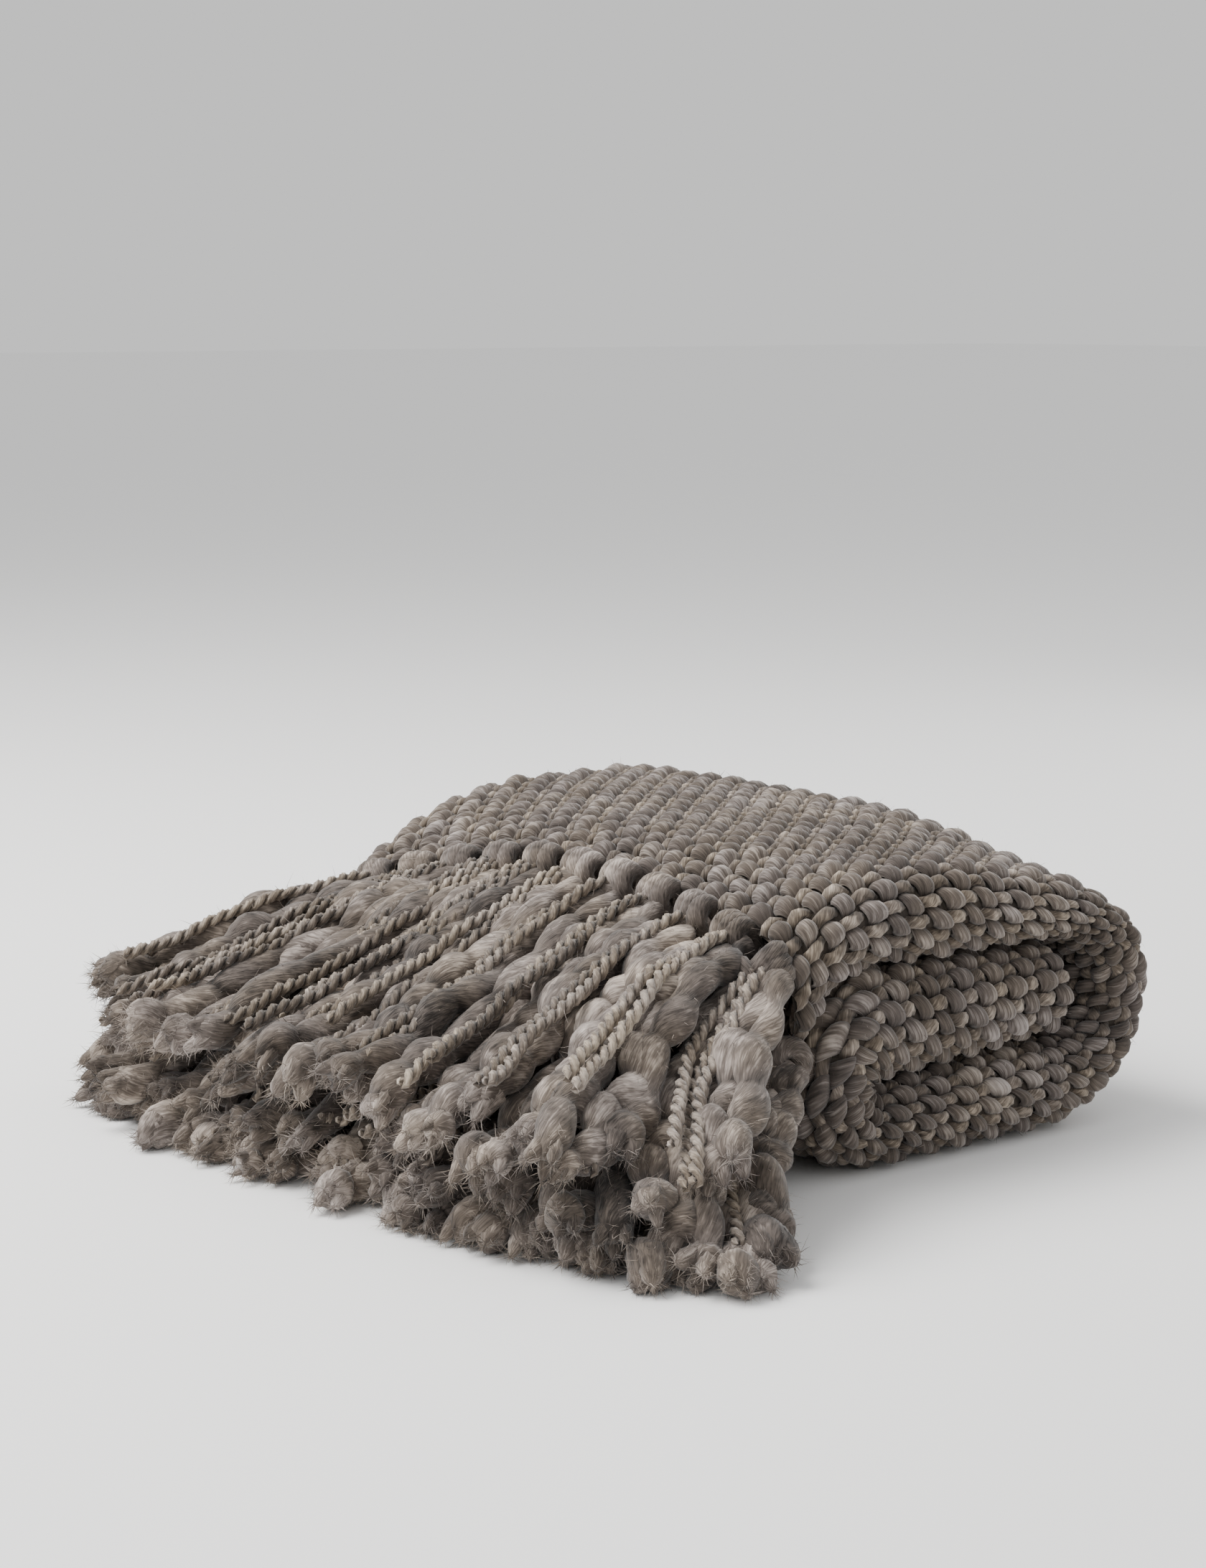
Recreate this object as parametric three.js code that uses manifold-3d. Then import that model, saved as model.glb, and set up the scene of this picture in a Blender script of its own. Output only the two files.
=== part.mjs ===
// Handwoven throw with a knotted fringe, folded into a strip and rolled into a low stack of three.
// Millimetres, +Z up. The origin is the middle of the stack on the surface that it lies on.
// +X runs from the fringed end to the big right fold, and -Y is the side where the folds show.

import * as THREE from 'three';
import { mergeVertices } from 'three/addons/utils/BufferGeometryUtils.js';
import Module from 'manifold-3d';

const wasm = await Module();
wasm.setup();

// The cloth and the strip that its letter fold makes.
const clothThickness = 15;
const layerStep = 19.5;
const stripWidth = 420;
const frontTuck = 36;
const backTuck = 40;
const edgeRounding = 4;
const stripGap = 2;

// The stack, seen from the front.
const leftTurnX = -60;
const rightTurnX = 69;
const noseReach = 37;
const hangAtMiddle = 52;
const hangAtFront = 80;
const hangAtBack = 84;

// How the soft stack has settled: the far left corner sank by a share of its height and the near right
// corner by a depth. Each sinking starts at a place and is complete after a span in X and in Y.
const farSink = { share: 0.1, fromX: -10, spanX: -110, fromY: 0, spanY: 210 };
const nearSink = { depth: 20, fromX: -20, spanX: 130, fromY: -20, spanY: -190 };
const lowerSeam = { sag: 10, fromX: 90, spanX: -180 };
const crown = 4;
const softFrom = 95;
const softSpan = 70;

// The knots and strands of the fringe, along the edge and out from it.
const tasselPitch = 38;
const firstTassel = 30;
const knotAlong = 24;
const knotAcross = 27;
const knotThick = 16;
const knotGap = 0.55;
const thickHalf = 6.3;
const thinRadius = 3.2;
const strandGap = 0.3;
const rootSpread = 0.75;
const laneReach = 30;
const settleReach = 80;
const maxSway = 1.5;
const farLower = 0.11;
const swayLength = 45;
const liftAtRoot = 0.78;

// Knots on the curved parts of the edge that sit closer to it than the others do.
const closerKnots = { 1: 0.8, 2: 0.3, 3: 0.4, 18: 0.3, 20: 0.7, 23: 0.9, 24: 0.3 };

// The fringe fans out from the knots: the share of its turn at the root, and where it is complete.
const fanAtRoot = 0.25;
const fanReach = 120;

const degree = Math.PI / 180;
const steepest = 35 * degree;
const thinLift = (thickHalf + thinRadius / 2 + strandGap) / Math.cos(steepest);
const halfWidth = stripWidth / 2;
const halfCloth = clothThickness / 2;
const stripThickness = 2 * layerStep + clothThickness;
const halfStrip = stripThickness / 2;
const stripPitch = stripThickness + stripGap;
const topMiddle = halfStrip + 2 * stripPitch;
const leftTurnHeight = halfStrip + stripPitch / 2;
const hangRadius = topMiddle - leftTurnHeight;
const flatRun = rightTurnX - leftTurnX;

// The letter fold from one long edge of the cloth to the other, one row for each run.
const backBendRadius = layerStep / 2;
const frontBendRadius = layerStep;
const backBendY = halfWidth - halfCloth - backBendRadius;
const frontBendY = -halfWidth + halfCloth + frontBendRadius;
const frontEdgeY = -halfWidth + frontTuck;
const backEdgeY = halfWidth - backTuck;
const crossRuns = [
  { part: 'middle layer', length: backBendY - frontEdgeY, turn: 0, steps: 6 },
  { part: 'back bend', length: Math.PI * backBendRadius, turn: Math.PI, steps: 4 },
  { part: 'outer layer', length: backBendY - frontBendY, turn: 0, steps: 7 },
  { part: 'front bend', length: Math.PI * frontBendRadius, turn: Math.PI, steps: 6 },
  { part: 'inner layer', length: backEdgeY - frontBendY, turn: 0, steps: 6 },
];

// The rolled strip from its hanging end to its nose, one row for each run, with the share of its
// thickness that is left where it is pressed.
const spiralRuns = [
  { part: 'top strip', length: flatRun, turn: 0, steps: 5, pressed: [1, 1, 0.98] },
  { part: 'right fold', length: Math.PI * stripPitch, turn: -Math.PI, steps: 10, pressed: [0.98, 0.78, 0.96] },
  { part: 'bottom strip', length: flatRun, turn: 0, steps: 4, pressed: [0.96, 1, 1] },
  { part: 'left fold', length: Math.PI * stripPitch / 2, turn: -Math.PI, steps: 8, pressed: [1, 1] },
  { part: 'inner strip', length: flatRun, turn: 0, steps: 5, pressed: [1, 1] },
];
const hangSteps = 5;
const noseSteps = [0.5, 1];

// The fringe of each layer, down to a height of that layer over the middle of the strip: the mean reach
// of its strands, their turn from -X towards -Y in degrees, the growth of that turn for each millimetre
// towards the near side, and their heights every reachStep.
const reachStep = 40;
const drape = [
  { layer: 'outer', above: 14, reach: 206, turn: 8, growth: 0.12, heights: [139, 127, 114, 101, 89, 79, 72] },
  { layer: 'middle', above: -10, reach: 210, turn: 17, growth: 0.15, heights: [115, 94, 78, 64, 51, 41, 35] },
  { layer: 'inner', above: -30, reach: 222, turn: 25, growth: 0.16, heights: [88, 62, 42, 24, 11, 6.3, 6.3] },
];

// The strands of one tassel: side is the lane beside the knot, cut the change in length.
const strandRows = [
  { kind: 'thick', side: -9.5, cut: 0 },
  { kind: 'thick', side: 9.5, cut: 14 },
  { kind: 'thin', side: -11.5, cut: -16 },
  { kind: 'thin', side: 1, cut: -2 },
  { kind: 'thin', side: 13, cut: -10 },
];
const strandStops = [1.5, 25, 60, 100, 140];
const raggedness = 12;
const cornerCut = 0.3;

const clothFinish = { color: 0x857a70, roughness: 0.95, metalness: 0 };
const yarnFinish = { color: 0x8d8073, roughness: 0.95, metalness: 0 };

const clamp01 = (value) => Math.min(1, Math.max(0, value));
const smooth = (value) => clamp01(value) ** 2 * (3 - 2 * clamp01(value));
const ramp = (value, from, span) => smooth((value - from) / span);
const mix = (a, b, t) => a + (b - a) * t;

// Reads a smooth curve through a row of equally spaced values.
function readRow(values, place) {
  const last = values.length - 1;
  const at = Math.min(last - 1e-6, Math.max(0, place));
  const i = Math.floor(at);
  const t = at - i;
  const before = values[Math.max(0, i - 1)];
  const after = values[Math.min(last, i + 2)];
  const slopeA = (values[i + 1] - before) / 2;
  const slopeB = (after - values[i]) / 2;
  const rise = values[i + 1] - values[i];
  const bend = 3 * rise - 2 * slopeA - slopeB;
  return values[i] + t * (slopeA + t * (bend + t * (slopeA + slopeB - 2 * rise)));
}

// Walks straight and round runs from a start and gives the point and the heading at a distance.
function walk(runs, start, distance) {
  let { x, z, angle } = start;
  let left = distance;
  runs.forEach((run, i) => {
    const step = i === runs.length - 1 ? left : Math.min(left, run.length);
    if (run.turn === 0) {
      x += Math.cos(angle) * step;
      z += Math.sin(angle) * step;
    } else {
      const turned = angle + run.turn * step / run.length;
      x += (Math.sin(turned) - Math.sin(angle)) * run.length / run.turn;
      z += (Math.cos(angle) - Math.cos(turned)) * run.length / run.turn;
      angle = turned;
    }
    left -= step;
  });
  return { x, z, angle };
}

// A point of the letter fold: across is its Y, out its height over the middle of the strip.
function crossPoint(distance, offset) {
  const p = walk(crossRuns, { x: frontEdgeY, z: 0, angle: 0 }, distance);
  const out = p.z + Math.cos(p.angle) * offset;
  return { across: p.x - Math.sin(p.angle) * offset, out, layerOut: p.z };
}

// Distances of the rings or points along a list of runs.
function stopsAlong(runs) {
  const stops = [0];
  for (const run of runs) {
    const from = stops[stops.length - 1];
    for (let i = 1; i <= run.steps; i += 1) stops.push(from + run.length * i / run.steps);
  }
  return stops;
}

// Lets the soft stack settle and leaves its underside flat. The lower seam sags towards the left.
function settle(x, y, z) {
  const atFar = ramp(x, farSink.fromX, farSink.spanX) * ramp(y, farSink.fromY, farSink.spanY);
  const atNear = ramp(x, nearSink.fromX, nearSink.spanX) * ramp(y, nearSink.fromY, nearSink.spanY);
  const crowned = crown * (1 - (y / halfWidth) ** 2);
  const lifted = ramp(z, softFrom, softSpan) * (crowned - nearSink.depth * atNear);
  const belowTop = Math.min(1, z / (2 * stripPitch));
  const towardsLeft = clamp01((x - lowerSeam.fromX) / lowerSeam.spanX);
  const sag = lowerSeam.sag * towardsLeft * Math.sin(Math.PI * belowTop) ** 2;
  return new THREE.Vector3(x, y, z * (1 - farSink.share * atFar) + lifted - sag);
}

// How far the cloth hangs down past the left turn, the least in the middle of the edge.
function hangLength(across) {
  const corner = across < 0 ? hangAtFront : hangAtBack;
  return mix(hangAtMiddle, corner, (across / halfWidth) ** 2);
}

// A point of the hanging end, where the layers slide over each other round the left turn.
function hangPoint(distance, across, out, layerOut) {
  const radius = hangRadius + out;
  const angle = distance / (hangRadius + layerOut);
  const x = leftTurnX - radius * Math.sin(angle);
  const z = leftTurnHeight + radius * Math.cos(angle);
  return { x, y: across, z, angle };
}

// A point of the rolled strip. Where the strip is pressed thinner, its outer side keeps its place.
function spiralPoint(distance, across, out) {
  const p = walk(spiralRuns, { x: leftTurnX, z: topMiddle, angle: 0 }, distance);
  let start = 0;
  let i = 0;
  while (i < spiralRuns.length - 1 && distance > start + spiralRuns[i].length + 1e-9) {
    start += spiralRuns[i].length;
    i += 1;
  }
  const place = clamp01((distance - start) / spiralRuns[i].length);
  const pressed = readRow(spiralRuns[i].pressed, place * (spiralRuns[i].pressed.length - 1));
  const height = out * pressed + halfStrip * (1 - pressed);
  return { x: p.x - Math.sin(p.angle) * height, y: across, z: p.z + Math.cos(p.angle) * height };
}

// The closed outline of the cloth's cut, as a list of points of the letter fold.
function clothOutline() {
  const stops = stopsAlong(crossRuns);
  const length = stops[stops.length - 1];
  const above = stops.map((stop) => crossPoint(stop, halfCloth));
  const below = stops.map((stop) => crossPoint(stop, -halfCloth)).reverse();
  return [...above, crossPoint(length + edgeRounding, 0), ...below, crossPoint(-edgeRounding, 0)];
}

function geometryFrom(points, triangles) {
  const geometry = new THREE.BufferGeometry();
  const numbers = points.flatMap((p) => [p.x, p.y, p.z]);
  geometry.setAttribute('position', new THREE.Float32BufferAttribute(numbers, 3));
  geometry.setIndex(triangles.flat());
  geometry.computeVertexNormals();
  return geometry;
}

// Joins rings of equal length into a tube, with caps made by the caller's list of triangles.
function loft(rings, capTriangles) {
  const size = rings[0].length;
  const triangles = [];
  for (let r = 0; r < rings.length - 1; r += 1) {
    for (let i = 0; i < size; i += 1) {
      const a = r * size + i;
      const b = r * size + (i + 1) % size;
      triangles.push([a, b + size, b], [a, a + size, b + size]);
    }
  }
  const end = (rings.length - 1) * size;
  for (const [a, b, c] of capTriangles) triangles.push([a, b, c], [a + end, c + end, b + end]);
  return geometryFrom(rings.flat(), triangles);
}

function makeCloth() {
  const outline = clothOutline();
  const rings = [];
  for (let i = 0; i < hangSteps; i += 1) {
    const share = 1 - i / hangSteps;
    rings.push(outline.map(({ across, out, layerOut }) => {
      const p = hangPoint(hangLength(across) * share, across, out, layerOut);
      return settle(p.x, p.y, p.z);
    }));
  }
  const stops = stopsAlong(spiralRuns);
  for (const stop of stops) {
    rings.push(outline.map(({ across, out }) => {
      const p = spiralPoint(stop, across, out);
      return settle(p.x, p.y, p.z);
    }));
  }
  const length = stops[stops.length - 1];
  for (const share of noseSteps) {
    rings.push(outline.map(({ across, out }) => {
      const bulge = Math.sqrt(noseReach ** 2 - out ** 2);
      const p = spiralPoint(length + bulge * share, across, out);
      return settle(p.x, p.y, p.z);
    }));
  }
  const stopCount = outline.length / 2 - 1;
  const caps = [];
  for (let i = 0; i < stopCount - 1; i += 1) {
    const far = 2 * stopCount - i;
    caps.push([i, i + 1, far], [i + 1, far - 1, far]);
  }
  caps.push([stopCount - 1, stopCount, stopCount + 1], [2 * stopCount, 2 * stopCount + 1, 0]);
  return loft(rings, caps);
}

// The plan position of a lane at a reach from the root. A lane turns slowly as it leaves the edge.
function lanePlan(side, root, layer, reach) {
  const slices = 12;
  const slice = reach / slices;
  const fullTurn = (layer.turn - layer.growth * (root.y + side)) * degree;
  let { x, y } = root;
  for (let i = 0; i < slices; i += 1) {
    const turn = fullTurn * mix(fanAtRoot, 1, smooth(slice * (i + 0.5) / fanReach));
    x -= Math.cos(turn) * slice;
    y -= Math.sin(turn) * slice;
  }
  return { x, y: y + side * mix(rootSpread, 1, smooth(reach / laneReach)) };
}

// The middle of a strand at a reach: from the knot down to the height of its layer.
function strandPoint(row, root, layer, reach, sway) {
  const plan = lanePlan(row.side + sway, root, layer, reach);
  const lowered = 1 - farLower * smooth(root.y / halfWidth);
  const level = lowered * readRow(layer.heights, reach / reachStep);
  const fromKnot = root.z + level - lowered * layer.heights[0];
  const height = mix(fromKnot, level, smooth(reach / settleReach));
  const onTop = mix(liftAtRoot, 1, smooth(reach / laneReach));
  const lift = row.kind === 'thin' ? thinLift * onTop : 0;
  return new THREE.Vector3(plan.x, plan.y, Math.max(height, thickHalf) + lift);
}

// A tube with three or four sides and a flat one below.
function makeStrand(points, kind) {
  const sides = kind === 'thick' ? 4 : 3;
  const radius = kind === 'thick' ? thickHalf * Math.SQRT2 : thinRadius;
  const start = kind === 'thick' ? 45 : 90;
  const up = new THREE.Vector3(0, 0, 1);
  const rings = points.map((point, i) => {
    const next = points[Math.min(points.length - 1, i + 1)];
    const along = next.clone().sub(points[Math.max(0, i - 1)]).normalize();
    const across = along.clone().cross(up).normalize();
    const over = across.clone().cross(along);
    return Array.from({ length: sides }, (_, k) => {
      const angle = (start + 360 * k / sides) * degree;
      const corner = point.clone().addScaledVector(across, radius * Math.cos(angle));
      return corner.addScaledVector(over, radius * Math.sin(angle));
    });
  });
  return loft(rings, sides === 4 ? [[0, 1, 2], [0, 2, 3]] : [[0, 1, 2]]);
}

// The oval lump of a knot, just off the end face of the cloth.
function makeKnot(distance, gap) {
  const { point, across, along } = edgeSeat(distance);
  const root = point.addScaledVector(along, gap + knotAlong / 2);
  const ball = new THREE.SphereGeometry(1, 7, 4);
  ball.deleteAttribute('normal');
  ball.deleteAttribute('uv');
  const turned = new THREE.Matrix4().makeBasis(across, along.clone().cross(across), along);
  const sized = new THREE.Matrix4().makeScale(knotAcross / 2, knotThick / 2, knotAlong / 2);
  ball.applyMatrix4(turned.multiply(sized)).translate(root.x, root.y, root.z);
  return { geometry: mergeVertices(ball, 1e-4), root };
}

function toSolid(geometry) {
  const vertProperties = new Float32Array(geometry.getAttribute('position').array);
  const triVerts = new Uint32Array(geometry.getIndex().array);
  return new wasm.Manifold(new wasm.Mesh({ numProp: 3, vertProperties, triVerts }));
}

function fromSolid(solid) {
  const { vertProperties, triVerts } = solid.getMesh();
  const geometry = new THREE.BufferGeometry();
  geometry.setAttribute('position', new THREE.BufferAttribute(new Float32Array(vertProperties), 3));
  geometry.setIndex(new THREE.BufferAttribute(new Uint32Array(triVerts), 1));
  geometry.computeVertexNormals();
  return geometry;
}

// The middle of the end face of the hanging cloth at a distance along the edge, and its directions.
function edgeSeat(distance) {
  const stops = stopsAlong(crossRuns);
  const next = stops.findIndex((stop, i) => i === stops.length - 1 || (i > 0 && stop > distance));
  const share = (distance - stops[next - 1]) / (stops[next] - stops[next - 1]);
  const [from, to] = [stops[next - 1], stops[next]].map((stop) => {
    const seat = crossPoint(stop, 0);
    const p = hangPoint(hangLength(seat.across), seat.across, seat.out, seat.out);
    return { point: settle(p.x, p.y, p.z), angle: p.angle };
  });
  const angle = mix(from.angle, to.angle, share);
  const across = to.point.clone().sub(from.point).normalize();
  const travel = new THREE.Vector3(-Math.cos(angle), 0, -Math.sin(angle));
  const along = travel.addScaledVector(across, -travel.dot(across)).normalize();
  return { point: from.point.lerp(to.point, share), across, along };
}

// One tassel on the hanging edge: its knot just off the cloth, and the roots of its strands in the knot.
function makeTassel(distance, order) {
  const { geometry: knot, root } = makeKnot(distance, knotGap - (closerKnots[order] ?? 0));
  const layer = drape.find((row) => crossPoint(distance, 0).out > row.above) ?? drape[drape.length - 1];
  const cornerShare = 1 - cornerCut * (root.y / halfWidth) ** 4;
  let solid = toSolid(knot);
  strandRows.forEach((row, i) => {
    const chance = Math.sin(12.9 * order + 7.7 * i + 1);
    const length = (layer.reach + row.cut) * cornerShare + raggedness * chance;
    const points = [...strandStops, length].map((reach) => {
      const sway = maxSway * (reach / length) ** 2 * Math.sin(reach / swayLength + 5 * chance);
      return strandPoint(row, root, layer, reach, sway);
    });
    solid = solid.add(toSolid(makeStrand(points, row.kind)));
  });
  return { geometry: fromSolid(solid), layer: layer.layer };
}

const throwModel = new THREE.Group();
throwModel.name = 'handwovenThrow';

function addPiece(name, geometry, finish) {
  const piece = new THREE.Mesh(geometry, new THREE.MeshStandardMaterial(finish));
  piece.name = name;
  throwModel.add(piece);
}

addPiece('cloth', makeCloth(), clothFinish);
const crossLength = stopsAlong(crossRuns).pop();
let order = 0;
for (let distance = firstTassel; distance < crossLength; distance += tasselPitch) {
  order += 1;
  const tassel = makeTassel(distance, order);
  addPiece(`tassel_${tassel.layer}_${String(order).padStart(2, '0')}`, tassel.geometry, yarnFinish);
}

export default throwModel;
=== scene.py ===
import math

import bpy
import numpy as np
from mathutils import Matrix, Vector


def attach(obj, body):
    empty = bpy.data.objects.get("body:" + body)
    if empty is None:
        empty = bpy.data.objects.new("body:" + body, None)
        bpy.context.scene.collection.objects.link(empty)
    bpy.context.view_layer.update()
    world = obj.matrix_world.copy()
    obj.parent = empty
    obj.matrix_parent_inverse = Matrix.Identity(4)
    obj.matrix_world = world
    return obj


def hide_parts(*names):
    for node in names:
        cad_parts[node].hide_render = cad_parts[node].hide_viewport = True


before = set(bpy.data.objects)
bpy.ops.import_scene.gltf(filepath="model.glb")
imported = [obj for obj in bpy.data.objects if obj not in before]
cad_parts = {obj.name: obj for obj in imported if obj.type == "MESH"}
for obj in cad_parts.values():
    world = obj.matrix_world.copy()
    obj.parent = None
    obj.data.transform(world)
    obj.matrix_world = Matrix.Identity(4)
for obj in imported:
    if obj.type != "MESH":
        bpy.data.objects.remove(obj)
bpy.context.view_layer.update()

mm = 0.001
quarterTurn = math.pi / 2
fullTurn = 2 * math.pi
chance = np.random.default_rng(4107)
print("frame loaded")


# Camera, floor and soft light

view = {
    "place": (-1.17229, -1.38722, 0.46805),
    "turn": (81.1275, 0.0, -37.7655),  # degrees
    "lens": 70.02,
    "filmSide": 36.0,
}
camera = bpy.data.objects.new("studio_camera", bpy.data.cameras.new("studio_camera"))
camera.location = view["place"]
camera.rotation_euler = [math.radians(a) for a in view["turn"]]
camera.data.lens = view["lens"]
camera.data.sensor_width = view["filmSide"]
camera.data.clip_end = 60
bpy.context.scene.collection.objects.link(camera)
bpy.context.scene.camera = camera

softBoxes = [  # where each light stands, how wide and how strong it is
    {"name": "key_light", "place": (-1.15, 0.95, 2.15), "size": 1.7, "power": 120, "tint": (1.0, 0.985, 0.96)},
    {"name": "bounce_light", "place": (1.9, 0.1, 0.6), "size": 1.2, "power": 10, "tint": (1.0, 0.99, 0.97)},
    {"name": "fill_light", "place": (-2.5, -0.5, 0.9), "size": 2.2, "power": 14, "tint": (0.96, 0.98, 1.0)},
]
lightAim = Vector((0, 0, 0.08))
for box in softBoxes:
    lamp = bpy.data.lights.new(box["name"], "AREA")
    lamp.size = box["size"]
    lamp.energy = box["power"]
    lamp.color = box["tint"]
    lampObject = bpy.data.objects.new(box["name"], lamp)
    lampObject.location = box["place"]
    aim = lightAim - Vector(box["place"])
    lampObject.rotation_euler = aim.to_track_quat("-Z", "Y").to_euler()
    bpy.context.scene.collection.objects.link(lampObject)

world = bpy.data.worlds.new("studio_air")
bpy.context.scene.world = world
world.use_nodes = True
world.node_tree.nodes["Background"].inputs["Color"].default_value = (0.93, 0.93, 0.925, 1)
world.node_tree.nodes["Background"].inputs["Strength"].default_value = 0.87


# Shader helpers and the effects that the yarns share

def addNode(tree, kind, values=None, **settings):
    node = tree.nodes.new(kind)
    for key, value in settings.items():
        setattr(node, key, value)
    for key, value in (values or {}).items():
        if hasattr(value, "is_output"):
            tree.links.new(value, node.inputs[key])
        else:
            node.inputs[key].default_value = value
    return node


def calc(tree, operation, a, b=0.0, limit=False):
    return addNode(tree, "ShaderNodeMath", {0: a, 1: b}, operation=operation, use_clamp=limit).outputs[0]


def openGroup(name, inputs, outputs):
    group = bpy.data.node_groups.new(name, "ShaderNodeTree")
    for label, kind, value in inputs:
        socket = group.interface.new_socket(name=label, in_out="INPUT", socket_type=kind)
        socket.default_value = value
    for label, kind in outputs:
        group.interface.new_socket(name=label, in_out="OUTPUT", socket_type=kind)
    start = group.nodes.new("NodeGroupInput")
    end = group.nodes.new("NodeGroupOutput")
    return group, start.outputs, end.inputs


def makeFibreGroup():
    group, given, result = openGroup("fibreLines", [
        ("Along", "NodeSocketFloat", 6.0),
        ("Around", "NodeSocketFloat", 40.0),
        ("Slant", "NodeSocketFloat", 0.5),
    ], [("Lines", "NodeSocketFloat"), ("Strands", "NodeSocketFloat")])
    flatPlace = addNode(group, "ShaderNodeUVMap", uv_map="UVMap").outputs[0]
    place = addNode(group, "ShaderNodeSeparateXYZ", {0: flatPlace})
    along, around = place.outputs[0], place.outputs[1]
    slanted = calc(group, "ADD", around, calc(group, "MULTIPLY", along, given["Slant"]))
    for label, spread, detail in (("Lines", 1.0, 3.0), ("Strands", 0.3, 2.0)):
        across = calc(group, "MULTIPLY", calc(group, "MULTIPLY", slanted, given["Around"]), spread)
        length = calc(group, "MULTIPLY", along, given["Along"])
        spot = addNode(group, "ShaderNodeCombineXYZ", {0: length, 1: across})
        noise = addNode(group, "ShaderNodeTexNoise", {"Vector": spot.outputs[0], "Scale": 1.0, "Detail": detail})
        spanned = addNode(group, "ShaderNodeMapRange", {0: noise.outputs[0], 1: 0.3, 2: 0.7})
        group.links.new(spanned.outputs[0], result[label])
    return group


heather = {  # how much each effect moves the tone, and the noise scales of the tones
    "lines": 0.34, "strands": 0.34, "shade": 0.33, "patchScale": 75.0, "driftScale": 14.0, "warmScale": 31.0,
    "coolTint": (0.985, 0.985, 1.02, 1), "warmTint": (1.025, 1.0, 0.955, 1),
}


def makeHeatherGroup():
    group, given, result = openGroup("heather", [
        ("Dark", "NodeSocketColor", (0.1, 0.08, 0.07, 1)),
        ("Middle", "NodeSocketColor", (0.2, 0.17, 0.15, 1)),
        ("Light", "NodeSocketColor", (0.4, 0.35, 0.3, 1)),
        ("Lines", "NodeSocketFloat", 0.5),
        ("Strands", "NodeSocketFloat", 0.5),
        ("Mottle", "NodeSocketFloat", 0.35),
    ], [("Color", "NodeSocketColor"), ("Height", "NodeSocketFloat")])
    place = addNode(group, "ShaderNodeTexCoord").outputs["Object"]

    def unevenness(scale, detail):
        return addNode(group, "ShaderNodeTexNoise", {"Vector": place, "Scale": scale, "Detail": detail}).outputs[0]

    patches = unevenness(heather["patchScale"], 2.0)
    drift = unevenness(heather["driftScale"], 1.0)
    # The shade attribute carries each yarn's own tone together with painted shade in dips, waists, grooves and between
    # plies and loops
    shade = addNode(group, "ShaderNodeAttribute", attribute_name="shade").outputs["Fac"]
    fibres = calc(group, "ADD", calc(group, "MULTIPLY", given["Lines"], heather["lines"]),
                  calc(group, "MULTIPLY", given["Strands"], heather["strands"]))
    uneven = calc(group, "MULTIPLY", calc(group, "SUBTRACT", calc(group, "ADD", patches, drift), 1.0), given["Mottle"])
    shaded = calc(group, "MULTIPLY", shade, heather["shade"])
    tone = calc(group, "ADD", calc(group, "ADD", fibres, uneven), shaded, limit=True)
    low = addNode(group, "ShaderNodeMix", {0: calc(group, "MULTIPLY", tone, 2.0, True), 6: given["Dark"],
                                           7: given["Middle"]}, data_type="RGBA").outputs[2]
    upper = calc(group, "SUBTRACT", calc(group, "MULTIPLY", tone, 2.0), 1.0, True)
    full = addNode(group, "ShaderNodeMix", {0: upper, 6: low, 7: given["Light"]}, data_type="RGBA").outputs[2]
    warmth = unevenness(heather["warmScale"], 0.0)
    warmer = addNode(group, "ShaderNodeMapRange", {0: warmth, 1: 0.38, 2: 0.62}).outputs[0]
    tint = addNode(group, "ShaderNodeMix", {0: warmer, 6: heather["coolTint"], 7: heather["warmTint"]},
                   data_type="RGBA").outputs[2]
    tinted = addNode(group, "ShaderNodeMix", {0: 1.0, 6: full, 7: tint}, data_type="RGBA", blend_type="MULTIPLY")
    group.links.new(tinted.outputs[2], result["Color"])
    group.links.new(fibres, result["Height"])
    return group


fibreGroup = makeFibreGroup()
heatherGroup = makeHeatherGroup()


def yarnMaterial(name, dark, middle, light, along, around, slant, mottle, bump):
    made = bpy.data.materials.new(name)
    made.use_nodes = True
    tree = made.node_tree
    shader = tree.nodes["Principled BSDF"]
    shader.inputs["Sheen Weight"].default_value = 0.22
    shader.inputs["Sheen Roughness"].default_value = 0.45
    shader.inputs["Specular IOR Level"].default_value = 0.25
    fibres = addNode(tree, "ShaderNodeGroup", node_tree=fibreGroup)
    for key, value in (("Along", along), ("Around", around), ("Slant", slant)):
        fibres.inputs[key].default_value = value
    tones = addNode(tree, "ShaderNodeGroup", node_tree=heatherGroup)
    for key, value in (("Dark", dark), ("Middle", middle), ("Light", light)):
        tones.inputs[key].default_value = (*value, 1)
    tones.inputs["Mottle"].default_value = mottle
    tree.links.new(fibres.outputs["Lines"], tones.inputs["Lines"])
    tree.links.new(fibres.outputs["Strands"], tones.inputs["Strands"])
    tree.links.new(tones.outputs["Color"], shader.inputs["Base Color"])
    rough = addNode(tree, "ShaderNodeMapRange", {0: tones.outputs["Height"], 3: 0.95, 4: 0.72}).outputs[0]
    tree.links.new(rough, shader.inputs["Roughness"])
    relief = addNode(tree, "ShaderNodeBump", {"Height": tones.outputs["Height"], "Strength": bump, "Distance": 0.0012})
    tree.links.new(relief.outputs[0], shader.inputs["Normal"])
    return made


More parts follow.
